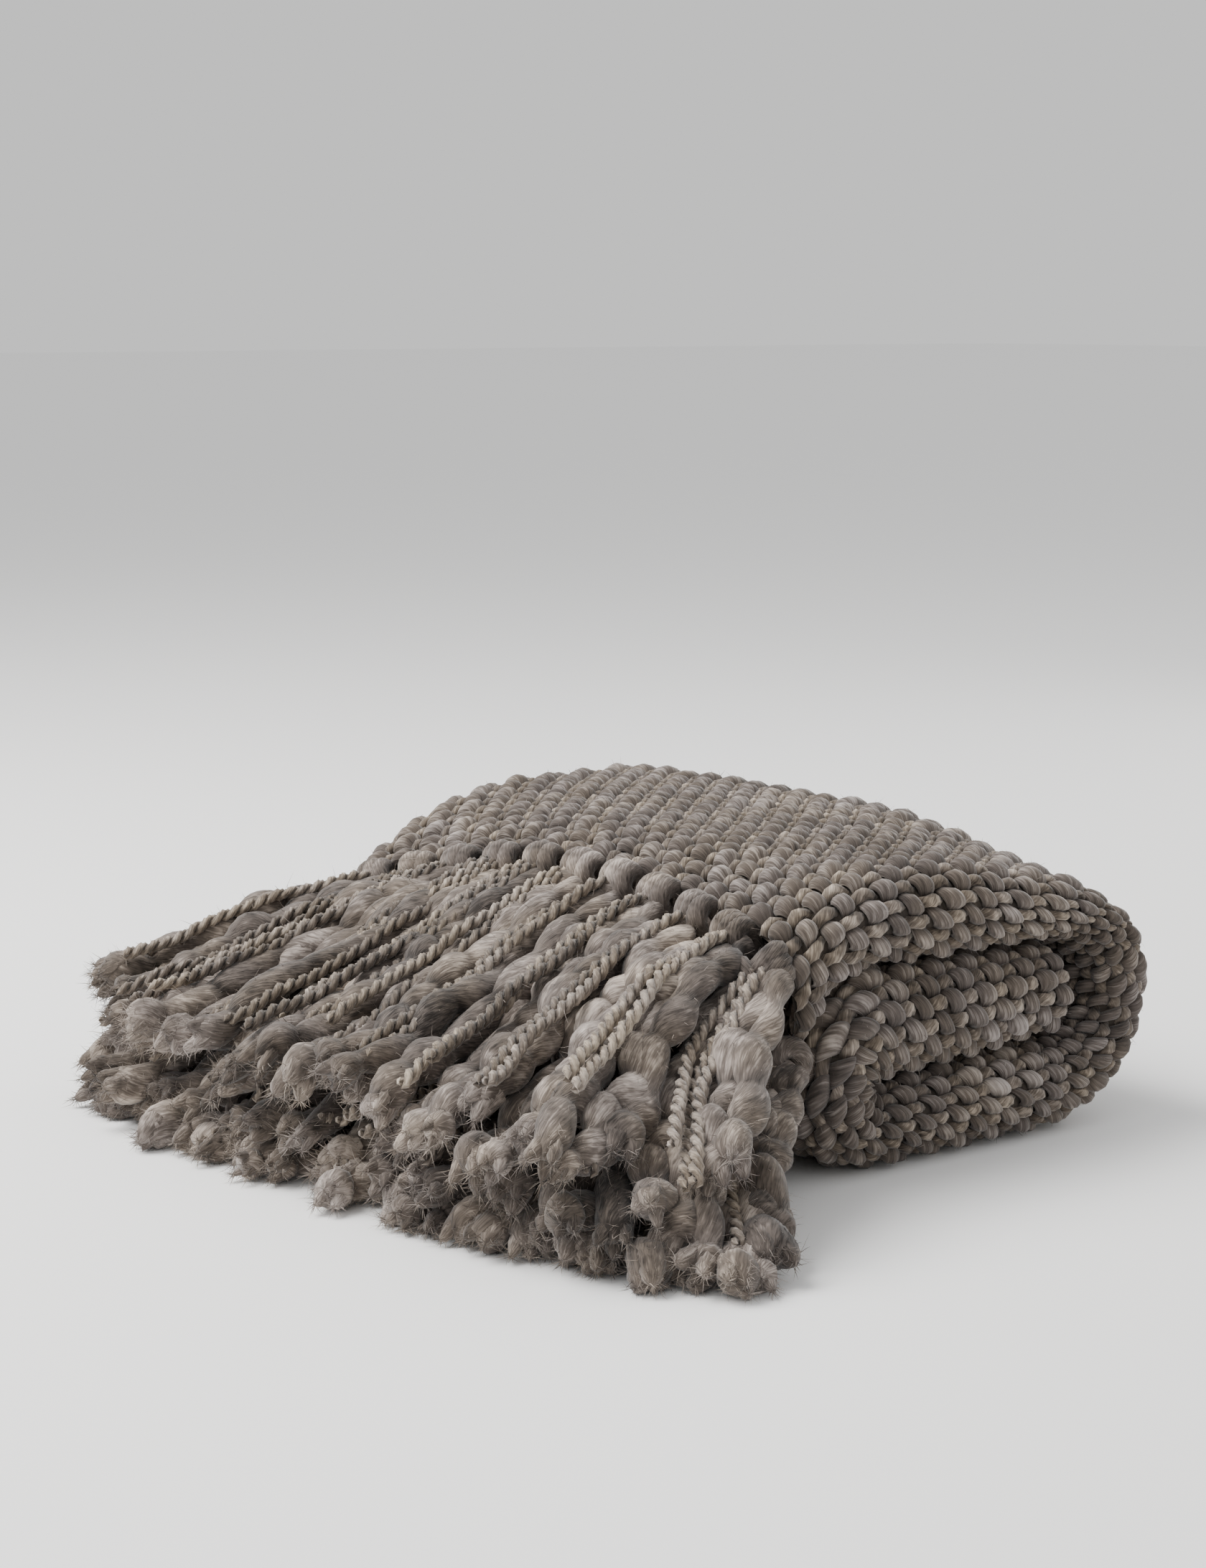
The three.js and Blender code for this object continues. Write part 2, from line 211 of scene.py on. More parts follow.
rovingWool = yarnMaterial("roving_wool", (0.018, 0.014, 0.012), (0.122, 0.101, 0.087), (0.47, 0.42, 0.38),
                          along=10, around=30, slant=0.3, mottle=0.5, bump=0.55)
cordWool = yarnMaterial("cord_wool", (0.024, 0.018, 0.014), (0.155, 0.127, 0.102), (0.5, 0.43, 0.355),
                        along=22, around=14, slant=0.0, mottle=0.4, bump=0.5)
plyWool = yarnMaterial("ply_wool", (0.024, 0.018, 0.014), (0.155, 0.127, 0.102), (0.5, 0.43, 0.355),
                       along=20, around=16, slant=6.25, mottle=0.4, bump=0.5)
fringeWool = yarnMaterial("fringe_wool", (0.022, 0.017, 0.014), (0.136, 0.112, 0.095), (0.5, 0.435, 0.38),
                          along=16, around=60, slant=1.2, mottle=0.8, bump=0.5)
# painted shade: the ground sheet is a darker wool than the yarns; it shows only in the gaps between them, where it
# stands for shade
groundShadeWool = yarnMaterial("ground_wool_painted_shade", (0.025, 0.02, 0.016), (0.07, 0.058, 0.048), (0.13, 0.11, 0.092),
                          along=40, around=40, slant=0.0, mottle=0.3, bump=0.3)
print("wool materials made")


# The fold: the same form as the solid cloth, in millimetres

fold = {
    "clothThickness": 15.0, "layerStep": 19.5, "stripWidth": 420.0, "frontTuck": 36.0, "backTuck": 40.0,
    "stripGap": 2.0, "leftTurnX": -60.0, "rightTurnX": 69.0,
    "hangMiddle": 52.0, "hangFront": 80.0, "hangBack": 84.0,
    "farDrop": 0.1, "nearDrop": 20, "crown": 4, "sag": 10,
}
halfWidth = fold["stripWidth"] / 2
halfCloth = fold["clothThickness"] / 2
stripThickness = 2 * fold["layerStep"] + fold["clothThickness"]
halfStrip = stripThickness / 2
stripPitch = stripThickness + fold["stripGap"]
topMiddle = halfStrip + 2 * stripPitch
leftTurnHeight = halfStrip + stripPitch / 2
hangRadius = topMiddle - leftTurnHeight
flatRun = fold["rightTurnX"] - fold["leftTurnX"]
backBend, frontBend = fold["layerStep"] / 2, fold["layerStep"]
backBendY = halfWidth - halfCloth - backBend
frontBendY = -halfWidth + halfCloth + frontBend
frontEdgeY = -halfWidth + fold["frontTuck"]
backEdgeY = halfWidth - fold["backTuck"]
crossRuns = [
    (backBendY - frontEdgeY, 0), (math.pi * backBend, math.pi), (backBendY - frontBendY, 0),
    (math.pi * frontBend, math.pi), (backEdgeY - frontBendY, 0),
]
spiralRuns = [
    (flatRun, 0), (math.pi * stripPitch, -math.pi), (flatRun, 0),
    (math.pi * stripPitch / 2, -math.pi), (flatRun, 0),
]
pressedShares = [(1, 1, 0.98), (0.98, 0.78, 0.96), (0.96, 1, 1), (1, 1), (1, 1)]  # along each run of the spiral
crossLength = sum(run[0] for run in crossRuns)
spiralLength = sum(run[0] for run in spiralRuns)
crossStarts = np.cumsum([0] + [run[0] for run in crossRuns])
spiralStarts = np.cumsum([0] + [run[0] for run in spiralRuns])


def unit(v):
    return v / np.maximum(np.linalg.norm(v, axis=-1, keepdims=True), 1e-9)


def smooth(value):
    held = np.clip(value, 0, 1)
    return held * held * (3 - 2 * held)


def ramp(value, start, span):
    return smooth((value - start) / span)


def mix(a, b, t):
    return a + (b - a) * t


# A smooth curve through a row of values, read at a place counted in steps.
def readRow(values, place):
    values = np.asarray(values, float)
    last = len(values) - 1
    at = np.clip(place, 0, last - 1e-6)
    i = np.floor(at).astype(int)
    t = at - i
    before, after = values[np.maximum(0, i - 1)], values[np.minimum(last, i + 2)]
    a, b = values[i], values[i + 1]
    slopeA, slopeB, rise = (b - before) / 2, (after - a) / 2, b - a
    return a + t * (slopeA + t * (3 * rise - 2 * slopeA - slopeB + t * (slopeA + slopeB - 2 * rise)))


# The place and heading after a distance along straight runs and round turns.
def walk(runs, x, z, distance):
    x, z, left = x + 0 * distance, z + 0 * distance, distance + 0.0
    angle = 0 * distance
    for i, (length, turn) in enumerate(runs):
        step = left if i == len(runs) - 1 else np.minimum(left, length)
        if turn == 0:
            x, z = x + np.cos(angle) * step, z + np.sin(angle) * step
        else:
            turned = angle + turn * step / length
            x = x + (np.sin(turned) - np.sin(angle)) * length / turn
            z = z + (np.cos(angle) - np.cos(turned)) * length / turn
            angle = turned
        left = left - step
    return x, z, angle


def crossPoint(distance, offset):
    y, z, angle = walk(crossRuns, frontEdgeY, 0.0, distance)
    return y - np.sin(angle) * offset, z + np.cos(angle) * offset, z


# The soft pile settles: lower at the far corner and the near side, crowned on top, sagging at the fringed side.
def settle(x, y, z):
    far = fold["farDrop"] * ramp(x, -10, -110) * ramp(y, 0, 210)
    near = fold["nearDrop"] * ramp(x, -20, 130) * ramp(y, -20, -190)
    crowned = fold["crown"] * (1 - (y / halfWidth) ** 2)
    lifted = ramp(z, 95, 70) * (crowned - near)
    below = np.clip(z / (2 * stripPitch), 0, 1)
    sag = fold["sag"] * np.clip((x - 90) / -180, 0, 1) * np.sin(math.pi * below) ** 2
    return np.stack([x, y, z * (1 - far) + lifted - sag], axis=-1)


# How far the fringed end hangs past the left turn.
def hangLength(across):
    corner = np.where(across < 0, fold["hangFront"], fold["hangBack"])
    return mix(fold["hangMiddle"], corner, (across / halfWidth) ** 2)


# A point of the cloth: u runs over the letter fold, s along the strip, h up through the cloth.
def clothPoint(u, s, h):
    u, s, h = np.broadcast_arrays(np.asarray(u, float), np.asarray(s, float), np.asarray(h, float))
    across, out, layerOut = crossPoint(u, h)
    angle = np.maximum(-s, 0) / (hangRadius + layerOut)
    radius = hangRadius + out
    hangX = fold["leftTurnX"] - radius * np.sin(angle)
    hangZ = leftTurnHeight + radius * np.cos(angle)
    x, z, heading = walk(spiralRuns, fold["leftTurnX"], topMiddle, np.maximum(s, 0))
    pressed = np.ones_like(s)
    for i, shares in enumerate(pressedShares):
        place = (s - spiralStarts[i]) / spiralRuns[i][0]
        here = (place >= 0) & (place <= 1)
        pressed = np.where(here, readRow(shares, np.clip(place, 0, 1) * (len(shares) - 1)), pressed)
    height = out * pressed + halfStrip * (1 - pressed)
    rolled = s >= 0
    x = np.where(rolled, x - np.sin(heading) * height, hangX)
    z = np.where(rolled, z + np.cos(heading) * height, hangZ)
    return settle(x, across, z)


# Meshes that are built from rings of points

def onFloor(rings, gap):
    rings[..., 2] = np.maximum(rings[..., 2], gap)
    return rings


class RingMesh:
    def __init__(self):
        self.points, self.quads, self.uvs, self.shades, self.count = [], [], [], [], 0

    # rings has the shape (tubes, rings, sides, 3) in millimetres; along is (tubes, rings) in millimetres
    def add(self, rings, along, shade, closed=True):
        tubes, length, sides, _ = rings.shape
        ids = self.count + np.arange(tubes * length * sides).reshape(tubes, length, sides)
        first = ids if closed else ids[:, :, :-1]
        after = np.roll(ids, -1, axis=2) if closed else ids[:, :, 1:]
        quads = np.stack([first[:, :-1], after[:, :-1], after[:, 1:], first[:, 1:]], axis=-1)
        j = np.arange(quads.shape[2])
        around = np.stack([j, j + 1, j + 1, j], axis=-1) / sides
        around = np.broadcast_to(around, quads.shape)
        run = np.stack([along[:, :-1], along[:, :-1], along[:, 1:], along[:, 1:]], axis=-1)[:, :, None, :] / 100
        run = np.broadcast_to(run, quads.shape)
        self.points.append(rings.reshape(-1, 3))
        self.quads.append(quads.reshape(-1, 4))
        self.uvs.append(np.stack([run, around], axis=-1).reshape(-1, 2))
        shade = np.asarray(shade, float)
        shade = shade[..., None] if shade.ndim == 2 else shade
        self.shades.append(np.broadcast_to(shade, rings.shape[:3]).reshape(-1))
        self.count += tubes * length * sides

    def build(self, name, material):
        points = np.concatenate(self.points) * mm
        quads = np.concatenate(self.quads)
        uvs = np.concatenate(self.uvs)
        mesh = bpy.data.meshes.new(name)
        mesh.vertices.add(len(points))
        mesh.vertices.foreach_set("co", points.astype(np.float32).ravel())
        mesh.loops.add(quads.size)
        mesh.loops.foreach_set("vertex_index", quads.astype(np.int32).ravel())
        mesh.polygons.add(len(quads))
        mesh.polygons.foreach_set("loop_start", np.arange(0, quads.size, 4, dtype=np.int32))
        mesh.polygons.foreach_set("loop_total", np.full(len(quads), 4, dtype=np.int32))
        mesh.uv_layers.new(name="UVMap").uv.foreach_set("vector", uvs.astype(np.float32).ravel())
        shade = mesh.attributes.new("shade", "FLOAT", "POINT")
        shade.data.foreach_set("value", np.concatenate(self.shades).astype(np.float32))
        mesh.update(calc_edges=True)
        mesh.validate()
        mesh.polygons.foreach_set("use_smooth", np.ones(len(mesh.polygons), dtype=bool))
        mesh.materials.append(material)
        piece = bpy.data.objects.new(name, mesh)
        bpy.context.scene.collection.objects.link(piece)
        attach(piece, "root")
        print(name, "triangles", 2 * len(quads))
        return piece


# The weave: soft rovings along u over and under thin cords along s

weave = {
    "cordStep": 11.2, "outside": 5.0, "cordWide": 3.3, "cordHigh": 3.2, "cordWave": 4.0, "plyPitch": 16.0,
    "rovingWide": 5.6, "rovingHigh": 5.0, "rovingWave": 3.2, "proud": 1.5, "waist": 0.42, "plump": 0.7,
    "hemRows": 15, "rowStep": 12.7, "rollOutside": 14.0, "bumpVariety": 0.12, "wander": 0.9,
    "slant": 1.2, "lean": 10.0, "leanSpan": 20, "leanRows": 8,
    "arc": 112, "rovingSides": 7, "cordSides": 6, "stepsPerCord": 6.2, "stepsPerRow": 4,
    "frontMargin": (34, 36), "backMargin": (40, 34), "edgeMargin": 55, "endMargin": 0.4,
    "floorGap": 0.3, "fibreShare": 0.13,
}
clothSeeds = []  # where loose fibres grow on the cloth: points, outward and forward directions

# The cords and the rows are spaced evenly on the outside of the folds and of the roll.
tableU = np.linspace(0, crossLength, 800)
inBackBend = (tableU > crossStarts[1]) & (tableU < crossStarts[2])
inFrontBend = (tableU > crossStarts[3]) & (tableU < crossStarts[4])
stretch = 1 + weave["outside"] * (inBackBend / backBend + inFrontBend / frontBend)
outsideU = np.concatenate([[0], np.cumsum((stretch[1:] + stretch[:-1]) / 2 * np.diff(tableU))])
tablePlace = outsideU / weave["cordStep"]
cordCount = int(tablePlace[-1])
tableS = np.linspace(flatRun, spiralLength + 40, 900)
turning = sum(((tableS > spiralStarts[i]) & (tableS < spiralStarts[i + 1])) * -run[1] / run[0]
              for i, run in enumerate(spiralRuns))
rowReach = np.concatenate([[0], np.cumsum(np.diff(tableS) * (1 + weave["rollOutside"] * turning[1:]))])
rowCount = int(weave["hemRows"] + np.interp(spiralLength + 20, tableS, rowReach) / weave["rowStep"])
bumpNoise = np.clip(chance.normal(size=(cordCount + 4, rowCount + 4)), -2, 2)
rowTone = chance.uniform(size=rowCount + 4)
cordTone = chance.uniform(size=cordCount + 4)
frontMiddle = (crossStarts[3] + crossStarts[4]) / 2


# The place along the strip of a row of the weave: the first rows follow the hem, and all lean past the front fold.
def rowPlace(row, across, u):
    hang = hangLength(across)
    leaning = weave["lean"] * (1 + np.tanh((u - frontMiddle) / weave["leanSpan"]))
    leaning = leaning * ramp(row, 0, weave["leanRows"]) * ramp(row, rowCount - 2, -weave["leanRows"])
    return np.where(row < weave["hemRows"], -hang + row / weave["hemRows"] * (flatRun + hang),
                    np.interp((row - weave["hemRows"]) * weave["rowStep"], rowReach, tableS)) + leaning


# Only the outer side of the yarns is made: the ground sheet lies under them.
def outerArc(points):
    return -quarterTurn + np.radians(np.linspace(-weave["arc"], weave["arc"], points))


def rovingRings(row, cordPlaces):
    u = np.interp(cordPlaces, tablePlace, tableU)
    across = crossPoint(u, 0.0)[0]
    wave = np.cos(math.pi * (cordPlaces + row))
    wave = np.sign(wave) * np.abs(wave) ** weave["plump"]
    shown = (1 - wave) / 2
    atCrossing = (2 * np.rint((cordPlaces + row - 1) / 2) + 1 - row).astype(int)
    lump = bumpNoise[np.clip(atCrossing, 0, cordCount + 3), row] * shown
    full = (1 - weave["waist"] * (1 - shown) ** 1.5) * (1 + weave["bumpVariety"] * lump)
    wide, high = weave["rovingWide"] * full, weave["rovingHigh"] * full
    turn = outerArc(weave["rovingSides"])
    centre = rowPlace(row + 0.5 + 0 * across, across, u) + weave["wander"] * lump
    centre = centre - weave["slant"] * np.sin(math.pi * (cordPlaces + row))
    s = centre[:, None] + wide[:, None] * np.cos(turn)
    h = (weave["rovingWave"] * wave - weave["proud"])[:, None] + high[:, None] * np.sin(turn)
    rings = onFloor(clothPoint(u[:, None], s, h), weave["floorGap"])
    # painted shade: each roving is darkened where it dips under the cords; the row and bump terms are tone that differs
    # from row to row, bigger bumps a little lighter
    shade = np.clip(0.22 + 0.46 * rowTone[row] + 0.13 * lump, -0.6, 1.6) - 0.9 * (1 - shown) ** 2
    seeds = (chance.uniform(size=h.shape) < weave["fibreShare"]) & (np.sin(turn) < -0.3) & (shown > 0.4)[:, None]
    outward = unit(rings - clothPoint(u, centre, 0.0)[:, None])
    forward = np.broadcast_to(unit(np.gradient(rings.mean(axis=1), axis=0))[:, None], rings.shape)
    clothSeeds.append((rings[seeds], outward[seeds], forward[seeds]))
    return rings[None], u[None], shade[None]


def cordRings(cord, rows):
    u = np.interp(cord, tablePlace, tableU)
    across = crossPoint(u + 0 * rows, 0.0)[0]
    wave = -np.cos(math.pi * (cord + rows - 0.5))
    turn = outerArc(weave["cordSides"])
    s = rowPlace(rows, across, u)
    lobes = np.abs(np.cos(turn - fullTurn * s[:, None] / weave["plyPitch"]))
    ply = 0.74 + 0.3 * lobes
    uRing = u + weave["cordWide"] * ply * np.cos(turn)
    h = (weave["cordWave"] * wave)[:, None] + weave["cordHigh"] * ply * np.sin(turn)
    rings = onFloor(clothPoint(uRing, s[:, None], h), weave["floorGap"])
    # painted shade: cords are darkened where they pass down between the rovings and in the grooves between their plies;
    # cordTone is each cord's own tone
    shade = cordTone[cord] - 0.7 * (1 - np.abs(wave))[:, None] ** 2 - 0.7 * (1 - lobes) ** 2
    return rings[None], s[None], shade[None]


# Yarns are made where they can be seen: on the top, at both folds and at the lower edge.
def foldZone(bend, margin):
    return (np.interp(crossStarts[bend] - margin[0], tableU, tablePlace),
            np.interp(crossStarts[bend + 1] + margin[1], tableU, tablePlace))


frontZone = foldZone(3, weave["frontMargin"])
backZone = foldZone(1, weave["backMargin"])
lastPlace = cordCount - weave["endMargin"]
edgeZone = (np.interp(crossLength - weave["edgeMargin"], tableU, tablePlace), lastPlace)
topZone = (backZone[0], frontZone[1])
topRows = int(weave["hemRows"] + np.interp(spiralStarts[2], tableS, rowReach) / weave["rowStep"]) + 1
rovings, cords = RingMesh(), RingMesh()
for row in range(rowCount):
    zones = [topZone] if row < topRows else [backZone, frontZone, edgeZone]
    if row == 0:
        zones = [(weave["endMargin"], lastPlace)]
    for low, high in zones:
        count = int((high - low) * weave["stepsPerCord"]) + 1
        rings, along, shade = rovingRings(row, np.linspace(low, high, count))
        rovings.add(rings, along, shade, closed=False)
for cord in range(1, cordCount):
    inBends = any(zone[0] <= cord <= zone[1] for zone in (frontZone, backZone, edgeZone))
    inTop = topZone[0] <= cord <= topZone[1]
    last = rowCount if inBends else topRows if inTop else 1
    rings, along, shade = cordRings(cord, np.linspace(0, last, last * weave["stepsPerRow"] + 1))
    cords.add(rings, along, shade, closed=False)
weftPiece = rovings.build("weft_rovings", rovingWool)
warpPiece = cords.build("warp_cords", plyWool)

# A dark sheet under the yarns, as painted shade in the gaps of the weave
ground = RingMesh()
groundU = np.linspace(0, crossLength, 160)
groundRows = np.linspace(0, rowCount, rowCount * 2 + 1)
groundAcross = crossPoint(groundU, 0.0)[0]
groundPlaces = rowPlace(groundRows[:, None], groundAcross[None, :], groundU[None, :])
groundGrid = clothPoint(groundU[None, :], groundPlaces, 0.0)
ground.add(groundGrid[None], groundRows[None] * weave["rowStep"], 0 * groundRows[None], closed=False)
groundPiece = ground.build("woven_ground", groundShadeWool)
print("weave done")


# The fringe: where its knots sit and how its strands fall

chance = np.random.default_rng(23)  # the fringe has its own seed, so the weave can change without it
fringe = {
    "pitch": 38.0, "first": 30.0, "knotAlong": 24.0, "knotGap": 0.5, "rootSpread": 0.5, "laneReach": 42.0,
    "settleReach": 80.0, "farLower": 0.11, "fanAtRoot": 0.25, "fanReach": 120.0, "cornerCut": 0.3,
    "heightStep": 40, "raggedRovings": 15, "raggedCords": 18, "cordsShorter": 8, "cordLift": 9.5,
}
drape = [  # the three layers of the fringe, with the height of their strands at every heightStep
    {"layer": "outer", "above": 14, "reach": 206, "turn": 8, "growth": 0.12, "longer": 3,
     "heights": (139, 127, 114, 101, 89, 79, 72)},
    {"layer": "middle", "above": -10, "reach": 210, "turn": 17, "growth": 0.15, "longer": 13,
     "heights": (115, 94, 78, 64, 51, 41, 35)},
    {"layer": "inner", "above": -30, "reach": 222, "turn": 25, "growth": 0.16, "longer": 13,
     "heights": (88, 62, 42, 24, 11, 6.3, 6.3)},
]
rovingPlaces = [(-13, 0), (-1, 10), (11, 4)]  # sideways place and added length of a tassel's rovings
extraRovings = {  # more of them in some tassels
    1: [(4, -8)], 2: [(5, 0)], 3: [(5, 5)], 11: [(-5, 0)], 12: [(5, -5)], 13: [(5, 5)],
    20: [(-22, -25)], 21: [(-21, -25), (-32, -45)], 22: [(-20, -15), (-30, -50)],
}


# The middle of the cloth's end at a distance along it, with its directions.
def edgeSeat(distance):
    def middleAt(d):
        across, out, _ = crossPoint(np.array([d]), 0.0)
        angle = hangLength(across) / (hangRadius + out)
        radius = hangRadius + out
        x = fold["leftTurnX"] - radius * np.sin(angle)
        z = leftTurnHeight + radius * np.cos(angle)
        return settle(x, across, z)[0], angle[0], out[0]
    point, angle, out = middleAt(distance)
    across = unit(middleAt(distance + 5)[0] - middleAt(distance - 5)[0])
    travel = np.array([-math.cos(angle), 0, -math.sin(angle)])
    along = unit(travel - across * travel.dot(across))
    return point, across, along, out


# Where a strand runs, seen from above.
def lanePlan(side, root, layer, reach):
    slices = 16
    share = (np.arange(slices) + 0.5) / slices
    fanned = np.radians(layer["turn"] - layer["growth"] * (root[1] + side))
    step = reach[:, None] / slices
    turn = fanned[:, None] * mix(fringe["fanAtRoot"], 1, smooth(reach[:, None] * share / fringe["fanReach"]))
    x = root[0] - (np.cos(turn) * step).sum(axis=1)
    y = root[1] - (np.sin(turn) * step).sum(axis=1)
    return x, y + side * mix(fringe["rootSpread"], 1, smooth(reach / fringe["laneReach"]))


def strandCentres(side, lift, sink, root, layer, reach):
    x, y = lanePlan(side + 0 * reach, root, layer, reach)
    lowered = 1 - fringe["farLower"] * smooth(root[1] / halfWidth)
    below = drape[min(drape.index(layer) + 1, len(drape) - 1)]
    sunk = sink * smooth((reach - 25) / 130)
    place = reach / fringe["heightStep"]
    level = lowered * mix(readRow(layer["heights"], place), readRow(below["heights"], place), sunk)
    fromKnot = root[2] + level - lowered * layer["heights"][0]
    z = mix(fromKnot, level, smooth(reach / fringe["settleReach"]))
    return np.stack([x, y, z + lift], axis=-1)


# Slow wandering along a strand, from a few waves of random phase.
def wander(reach, size, wavelength):
    result = 0 * reach
    for share in (1.0, 0.55):
        result = result + share * np.sin(fullTurn * reach / (wavelength * share) + chance.uniform(0, 6.28))
    return size * result / 1.5


def tubeRings(centres, radii, profile, spin):
    along = unit(np.gradient(centres, axis=0))
    over = unit(np.cross(np.cross(along, [0, 0, 1.0]), along))
    across = np.cross(along, over)
    turn = fullTurn * np.arange(len(profile)) / len(profile) + spin[:, None]
    reachOut = radii[:, None] * profile
    return centres[:, None] + (reachOut * np.cos(turn))[..., None] * across[:, None] + \
        (reachOut * np.sin(turn))[..., None] * over[:, None]


rovingStrand = {
    "radius": 10.4, "slubs": (25, 32, 42), "step": 3.6, "waist": 0.62, "tip": 11.0, "sides": 12, "twist": 0.02,
    "shortSlubsAfter": 17,
}
cordStrand = {"offset": 1.85, "radius": 2.4, "pitch": 17.5, "step": 2.6, "sides": 6}
lock = {"count": 3, "long": (14, 24), "radius": 5.6, "splay": 0.6, "lowest": 4.5}
strandFloorGap = 0.4
eighthTurns = fullTurn * np.arange(8) / 8
rovingTurns = fullTurn * np.arange(rovingStrand["sides"]) / rovingStrand["sides"]
fringeRovings, fringeCords, fringeKnots = RingMesh(), RingMesh(), RingMesh()
fringeSeeds = []  # where loose fibres grow on the fringe: points, outward and forward directions, weights
tuftSeeds = []  # the same for the brushed ends of the rovings
tasselNodes = sorted(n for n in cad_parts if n.startswith("tassel"))


def fibreSeeds(rings, centres, weight):
    outward = unit(rings - centres[:, None])
    forward = np.broadcast_to(unit(np.gradient(centres, axis=0))[:, None], rings.shape)
    weights = np.broadcast_to(np.asarray(weight, float)[..., None], rings.shape[:2])
    return rings.reshape(-1, 3), outward.reshape(-1, 3), forward.reshape(-1, 3), weights.ravel()


# The end of a roving comes apart into a few short soft locks.
def addLocks(end, heading, radius, tone):
    start = chance.uniform(0, 6.28)
    side = unit(np.cross(heading, [0, 0, 1.0]))
    over = np.cross(side, heading)
    reach = np.sin(np.linspace(0, 1, 8) * math.pi / 2)
    for i in range(lock["count"]):
        angle = start + fullTurn * (i + chance.uniform(-0.2, 0.2)) / lock["count"]
        outward = math.cos(angle) * side + math.sin(angle) * over
        size = chance.uniform(*lock["long"])
        bend = lock["splay"] * chance.uniform(0.2, 1)
        path = end + np.outer(radius * 0.4 + size * 0.5 * bend * reach ** 1.6, outward) + \
            np.outer(size * (reach - 0.45), heading)
        path[:, 2] -= 3 * reach ** 2
        path[:, 2] = np.maximum(path[:, 2], lock["lowest"])
        radii = lock["radius"] * chance.uniform(0.8, 1.2) * radius / 10 * np.sqrt(np.clip(1 - reach ** 3.0, 0.0004, 1))
        rings = tubeRings(path, radii, 1 + 0.1 * np.cos(3 * eighthTurns), 1.5 * reach + chance.uniform(0, 6.28))
        rings = onFloor(rings, strandFloorGap)
        fringeRovings.add(rings[None], (size * reach)[None], np.full((1, 8), tone + chance.uniform(-0.3, 0.3)))
        tuftSeeds.append(fibreSeeds(rings, path, 0.2 + 2 * reach ** 3))


# A soft roving is a chain of long slubs with narrow places between them.
def addRoving(root, layer, side, lift, sink, length, slub):
    count = int(length / rovingStrand["step"])
    reach = np.linspace(0, length, count)
    share = reach / length
    centres = strandCentres(side, lift * smooth(share * 2), sink, root, layer, reach)
    place = reach / slub + chance.uniform() + 0.2 * np.sin(reach / chance.uniform(22, 34) + chance.uniform(0, 6.28))
    nth = np.floor(place).astype(int)
    bulge = np.abs(np.sin(math.pi * place)) ** 0.7
    slubTone, slubSize = chance.uniform(-0.3, 0.3, 40), chance.uniform(0.85, 1.15, 40)
    even = np.convolve(np.pad(slubSize[nth], 3, mode="edge"), np.ones(7) / 7, mode="valid")
    radii = rovingStrand["radius"] * even * mix(rovingStrand["waist"], 1.06, bulge)
    radii = radii * (0.62 + 0.38 * smooth(reach / 50))
    tipShare = np.clip((length - reach) / rovingStrand["tip"], 0, 1)
    full = radii[-4]
    radii = radii * np.sqrt(np.clip(1 - (1 - tipShare) ** 2.4, 0.0004, 1))
    swing = 2.6 * np.sin(math.pi * place + 0.8) * smooth(reach / 40)
    centres[:, 1] += wander(reach, 4.5, 120) * smooth(share * 2) + swing
    centres[:, 2] += wander(reach, 2.5, 90) * smooth(share * 2) + 0.6 * swing
    centres[:, 2] = np.maximum(centres[:, 2], radii + 0.2)
    spin = rovingStrand["twist"] * reach + chance.uniform(0, 6.28)
    profile = 1 + 0.05 * np.cos(2 * rovingTurns) + 0.05 * np.cos(3 * rovingTurns + 1)
    rings = onFloor(tubeRings(centres, radii, profile, spin), strandFloorGap)
    base = chance.uniform(-0.1, 0.9)
    # painted shade: each roving is darker at the narrow waists between its slubs, on top of its own random tone
    tone = base + slubTone[nth] - 0.9 * (1 - bulge) ** 2
    fringeRovings.add(rings[None], reach[None], tone[None])
    fringeSeeds.append(fibreSeeds(rings, centres, 0.8 + 1.6 * smooth((share - 0.6) * 3)))
    addLocks(centres[-3], unit(centres[-1] - centres[-5]), full, base)


# A thin cord is two plies twisted round each other.
def addCord(root, layer, side, lift, sink, length):
    count = int(length / cordStrand["step"])
    reach = np.linspace(0, length, count)
    share = reach / length
    centres = strandCentres(side, lift * mix(0.55, 1, smooth(reach / 25)), sink, root, layer, reach)
    centres[:, 1] += wander(reach, 3.0, 130) * smooth(share * 2)
    centres[:, 2] += wander(reach, 2.0, 80) * smooth(share * 2)
    centres[:, 2] = np.maximum(centres[:, 2], 4.4)
    end = np.clip((length - reach) / 4.0, 0, 1)
    radii = cordStrand["radius"] * (1 + 0.06 * wander(reach, 1, 40)) * \
        np.sqrt(np.clip(1 - (1 - end) ** 2, 0.0004, 1))
    spin = fullTurn * reach / cordStrand["pitch"] + chance.uniform(0, 6.28)
    plies = tubeRings(centres, cordStrand["offset"] * np.ones(count), np.ones(2), spin)
    tone = chance.uniform()
    for i in (0, 1):
        path = plies[:, i]
        rings = tubeRings(path, radii, np.ones(cordStrand["sides"]), spin)
        # painted shade: each ply is darkened on the side that faces the other ply, in the crevice between them
        inward = ((rings - path[:, None]) * (centres - path)[:, None]).sum(axis=-1)
        inward = inward / (radii[:, None] * cordStrand["offset"])
        fringeCords.add(rings[None], reach[None], (tone + 0.1 * i - 1.0 * np.clip(inward + 0.3, 0, 1))[None])
        fringeSeeds.append(fibreSeeds(rings, path, 0.25 + 0 * reach))


# A knot is three turns of roving side by side, with a tie where the strands come out.
knotShape = {
    "loops": (-6.0, 0.2, 6.4), "radius": 6.3, "long": 8.0, "high": 9.6, "shift": -3.5, "steps": 22, "yarnStep": 12,
    "tie": 4.2, "tieWide": 9.5, "tieHigh": 7.0, "tieAlong": 9.0,
}


